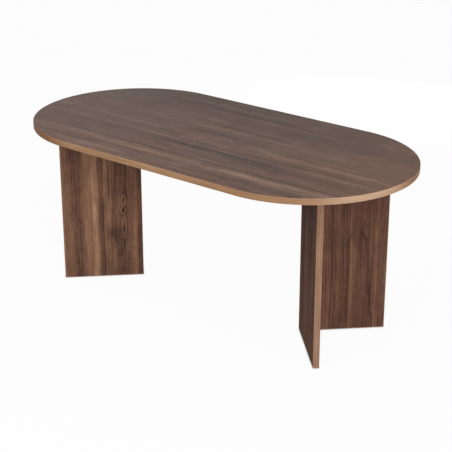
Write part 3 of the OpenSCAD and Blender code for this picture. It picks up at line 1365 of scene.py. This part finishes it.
@dataclass
class Studio:
    """A pale floor, soft lamps and the camera."""

    # The camera: its frame and focal length in pixels, its sensor in millimetres, its turns in degrees
    frame_pixels: float = 452.0
    focal_pixels: float = 1267.46
    sensor: float = 36.0
    camera_place: Vector = field(default_factory=lambda: Vector((3.18991, -3.87579, 2.37154)))
    camera_yaw: float = 39.04
    camera_pitch: float = 21.95

    # The floor, with its colour as it is seen and as it lights the table, and its share of plain white
    floor_radius: float = 60.0
    floor_sides: int = 96
    floor_drop: float = 0.2 * MM
    floor_shade: Colour = (0.97, 0.97, 0.97, 1.0)
    floor_bounce: Colour = (0.6, 0.6, 0.6, 1.0)
    floor_glow: float = 0.95

    # The shade under the glides: its reach, its samples, and how open the floor is where it is full and gone
    contact: float = 0.008
    contact_samples: int = 8
    contact_range: tuple[float, float] = (0.3, 0.95)

    # The strength of the soft light from all round
    ambient: float = 0.38

    def build(self) -> None:
        """Builds the studio."""
        self._camera()
        self._floor()
        self._world()
        right_end = Vector((0.85, -0.2, 0.6))
        lamps = (
            BroadLamp("broad_lamp", Vector((3.7, -2.9, 1.8)), size=math.radians(40), level=0.42),
            SoftLamp("key_lamp", Vector((0.4, -1.9, 2.0)), size=1.4, level=0.25),
            SoftLamp("side_lamp", Vector((3.2, -0.1, 0.45)), size=0.8, level=0.28, aim=right_end),
            SoftLamp("rear_lamp", Vector((-1.2, 3.6, 0.25)), size=0.9, level=0.22),
        )
        for lamp in lamps:
            lamp.build()
        bpy.context.scene.view_settings.view_transform = "Standard"

    def _camera(self) -> None:
        """Sets the camera up where the photographer stood."""
        data = bpy.data.cameras.new("camera")
        data.sensor_width = self.sensor
        data.lens = self.focal_pixels / self.frame_pixels * self.sensor
        camera = add_object("camera", data)
        camera.location = self.camera_place
        camera.rotation_euler = (math.radians(90 - self.camera_pitch), 0, math.radians(self.camera_yaw))
        bpy.context.scene.camera = camera

    def _seen(self, graph: Graph) -> Signal:
        """1 for rays that show the surroundings, by camera, in gloss or through glass.

        Args:
            graph: the graph that the value is added to.

        Returns:
            The value, 0 for rays that only light the table.
        """
        rays = graph.node("ShaderNodeLightPath").outputs
        seen = Signal(graph, rays["Is Camera Ray"])
        for kind in ("Is Glossy Ray", "Is Transmission Ray"):
            seen = seen.larger(Signal(graph, rays[kind]))
        return seen

    def _floor(self) -> None:
        """Lays a wide round floor that keeps a faint shadow of the table."""
        mesh = bmesh.new()
        edge = circle((0, 0), self.floor_radius, self.floor_sides)
        mesh.faces.new(ring(mesh, edge, -self.floor_drop))
        material = bpy.data.materials.new("floor_pale")
        material.use_nodes = True
        graph = Graph(material.node_tree)
        seen = self._seen(graph)
        shade = graph.blend(seen, self.floor_bounce, self.floor_shade)
        matt = graph.node("ShaderNodeBsdfDiffuse", None, {"Color": shade})
        glow = graph.node("ShaderNodeEmission", None, {"Color": WHITE, "Strength": 1.0})
        settings = {"samples": self.contact_samples}
        nearby = graph.node("ShaderNodeAmbientOcclusion", settings, {"Distance": self.contact})
        open_floor = Signal(graph, nearby.outputs["AO"]).smooth(*self.contact_range)
        pale = graph.merge(seen * open_floor * self.floor_glow, matt, glow)
        graph.node("ShaderNodeOutputMaterial", None, {"Surface": pale})
        floor = add_mesh("floor", mesh, material)

    def _world(self) -> None:
        """Surrounds the table with soft light, and shows it against white."""
        world = bpy.data.worlds.new("surroundings")
        world.use_nodes = True
        graph = Graph(world.node_tree)
        soft, white = [
            graph.node("ShaderNodeBackground", None, {"Color": WHITE, "Strength": strength})
            for strength in (self.ambient, 1.0)
        ]
        mixed = graph.merge(self._seen(graph), soft, white)
        graph.node("ShaderNodeOutputWorld", None, {"Surface": mixed})
        bpy.context.scene.world = world


# The figure of each face. Places across the grain are measured from the middle of the top, or from
# the outer corner of a leg; those along it from the middle of the top, or from the floor. A streak
# has its place across, its half width and its tone, then where it starts and ends along the grain.
TOP_MARKS: tuple[Mark, ...] = (
    Streak(-0.274, 0.012, -1.1, -0.70, 0.84, 0.20, 0.8),
    Streak(-0.318, 0.034, 0.6, -0.90, -0.15, 0.15),
    Streak(-0.314, 0.034, 0.5, -0.30, 0.40, 0.15),
    Streak(-0.312, 0.036, 0.9, 0.30, 0.90, 0.15),
    Streak(-0.410, 0.034, 0.4, -0.70, -0.10, 0.12),
    Streak(-0.350, 0.006, -0.9, -0.10, 0.20, 0.08),
    Streak(-0.374, 0.018, -0.7, 0.15, 0.75, 0.10),
    Streak(-0.165, 0.034, -0.4, -0.80, 0.86, 0.15),
    Streak(-0.160, 0.022, -0.7, -0.08, 0.40, 0.15),
    Streak(-0.190, 0.020, -0.6, 0.20, 0.80, 0.12),
    Streak(-0.121, 0.012, 0.6, -0.80, -0.06, 0.10),
    Streak(-0.134, 0.024, 0.7, 0.54, 0.90, 0.10),
    Streak(-0.145, 0.024, 0.45, -0.90, -0.35, 0.12),
    Streak(-0.107, 0.007, -1.0, -0.14, 0.90, 0.15),
    Streak(-0.050, 0.020, 0.5, -0.90, -0.05, 0.15),
    Streak(-0.052, 0.022, 0.8, 0.24, 0.90, 0.20),
    Streak(0.024, 0.009, -1.1, -0.16, 0.25, 0.08),
    Streak(0.086, 0.016, 0.6, -0.13, 0.62, 0.05),
    Streak(0.124, 0.008, -1.1, -0.13, 0.24, 0.08),
    Streak(0.110, 0.060, 0.2, -0.80, -0.05, 0.15),
    Streak(0.230, 0.060, -0.35, -0.85, 0.88, 0.10),
    Streak(0.380, 0.110, -0.7, -0.90, 0.20, 0.20, 0.5),
    Streak(0.305, 0.012, -0.9, -0.24, 0.36, 0.12),
    Streak(0.288, 0.034, -0.45, -0.90, -0.35, 0.15),
    Streak(0.288, 0.030, -0.6, 0.60, 0.90, 0.08),
    Streak(0.352, 0.024, 0.7, -0.60, 0.24, 0.15),
    Ripple(0.015, 0.300, 0.040, 0.120, 0.014, 0.12),
    Knot(0.030, -0.235, 0.010, 0.046, 0.8),
    Knot(0.036, -0.160, 0.008, 0.020, 0.8),
    Knot(-0.015, 0.011, 0.008, 0.018, 0.7),
    Knot(-0.131, -0.020, 0.008, 0.022, 0.9),
    Knot(0.088, 0.620, 0.010, 0.018, 0.9, rim=0.3, outline=0.4),
)

LEFT_FRONT_MARKS: tuple[Mark, ...] = (
    Streak(0.338, 0.030, 0.3),
    Streak(0.307, 0.0026, -0.7),
    Streak(0.297, 0.0020, -0.6),
    Streak(0.291, 0.0026, -0.7),
    Streak(0.279, 0.0024, -0.7),
    Streak(0.288, 0.020, -0.2),
    Streak(0.226, 0.044, 0.72, soft=0.6),
    Streak(0.208, 0.016, 0.3, soft=0.4),
    Streak(0.180, 0.013, -0.42, soft=0.35),
    Streak(0.172, 0.004, -0.5),
    Streak(0.149, 0.015, 0.4, 0.22, 0.38, 0.05),
    Streak(0.112, 0.020, -0.3, 0.10),
    Streak(0.080, 0.040, -0.65, end=0.18, fade=0.10),
    Streak(0.150, 0.070, -0.25, end=0.12, fade=0.08),
    Streak(0.178, 0.036, 0.6, 0.38, fade=0.07),
    Knot(0.082, 0.364, 0.010, 0.030, 0.8, heart=1.2, rim=1.0, outline=0.5),
    Knot(0.084, 0.317, 0.011, 0.021, 0.9, heart=1.2, rim=0.9, outline=0.5),
    Knot(0.080, 0.238, 0.010, 0.062, 0.6, heart=0.3, rim=0.9, outline=0.5),
    Knot(0.112, 0.218, 0.090, 0.095, 0.8, rim=0.0, outline=0.0, bend=0.0),
    Streak(0.080, 0.022, -0.35, 0.38, 0.80, 0.05),
    Streak(0.040, 0.020, 0.3),
    Streak(0.012, 0.012, -0.45, soft=0.3),
    Ripple(0.048, 0.062, 0.055, 0.055, 0.019, 0.15),
)

RIGHT_REAR_MARKS: tuple[Mark, ...] = (
    Streak(0.106, 0.0020, -0.4, 0.10),
    Streak(0.117, 0.0030, -0.7, end=0.40),
    Streak(0.100, 0.024, 0.55),
    Streak(0.168, 0.0024, -0.7),
    Streak(0.178, 0.0036, -0.6),
    Arch(0.221, 0.437, 0.034, 0.050, 0.010, -0.45, lean=0.05, drift=0.05),
    Streak(0.208, 0.022, 0.35, end=0.36, fade=0.08),
    Streak(0.275, 0.024, -0.15, end=0.34, fade=0.10),
    Streak(0.288, 0.006, -0.3, end=0.33, fade=0.10),
    Streak(0.306, 0.012, 0.55, end=0.36, fade=0.10),
)

RIGHT_FRONT_MARKS: tuple[Mark, ...] = (
    Streak(0.070, 0.036, -0.5),
    Streak(0.160, 0.040, 0.2),
    Streak(0.236, 0.040, -0.3),
    Streak(0.344, 0.016, 0.2),
)

# Painted light on the top and its band: sheen, shade and warmer light on the top; a highlight and shade on
# the band
TOP_PAINTED_LIGHT: tuple[PaintedLightPatch, ...] = (
    PaintedLightPatch(-0.80, -0.15, 0.75, tint(110, 90, 87), 0.28),
    PaintedLightPatch(-0.45, 0.32, 0.55, tint(70, 52, 44), 0.26),
    PaintedLightPatch(0.90, 0.10, 0.60, tint(134, 93, 70), 0.28),
    PaintedLightPatch(0.20, 0.48, 0.70, tint(68, 42, 30), 0.30),
)
# A painted highlight at the band's right front, and painted shade at its left end, its rear and its right
# end
BAND_PAINTED_LIGHT: tuple[PaintedLightPatch, ...] = (
    PaintedLightPatch(0.86, -0.18, 0.24, tint(214, 184, 160), 0.42),
    PaintedLightPatch(-0.10, 0.52, 0.95, tint(120, 84, 60), 0.40),
    PaintedLightPatch(-0.74, -0.36, 0.42, tint(134, 85, 52), 0.85),
    PaintedLightPatch(-0.92, 0.00, 0.30, tint(80, 50, 35), 0.85),
    PaintedLightPatch(0.42, -0.45, 0.36, tint(152, 114, 84), 0.45),
    PaintedLightPatch(0.90, 0.18, 0.22, tint(124, 86, 60), 0.75),
)

# The marks on the outer and inner face of each leg panel, and a cast of its print that is painted light and
# shade with some tone of its own
PANEL_FINISHES: Mapping[tuple[Side, Arm], tuple[tuple[Mark, ...], tuple[Mark, ...], Colour]] = {
    (Side.LEFT, Arm.FRONT): (LEFT_FRONT_MARKS, (), (1.31, 1.28, 1.28, 1.0)),
    (Side.LEFT, Arm.REAR): (RIGHT_FRONT_MARKS, RIGHT_REAR_MARKS, (1.1, 1.1, 1.1, 1.0)),
    (Side.RIGHT, Arm.FRONT): (RIGHT_FRONT_MARKS, (), (1.0, 0.96, 1.0, 1.0)),
    (Side.RIGHT, Arm.REAR): (LEFT_FRONT_MARKS, RIGHT_REAR_MARKS, (0.97, 0.90, 0.97, 1.0)),
}


def main() -> None:
    """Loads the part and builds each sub-assembly round it."""
    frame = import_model()
    sizes = TableSizes()
    panels = [LegPanel(sizes, *place, *finish) for place, finish in PANEL_FINISHES.items()]
    Tabletop(sizes, panels, TOP_MARKS, TOP_PAINTED_LIGHT, BAND_PAINTED_LIGHT).build(frame)
    for side in Side:
        front, rear = [panel for panel in panels if panel.side is side]
        PanelLeg(sizes, side, (front, rear)).build(frame)
    Studio().build()


if __name__ == "__main__":
    logging.basicConfig(level=logging.INFO, format="%(name)s: %(message)s")
    main()
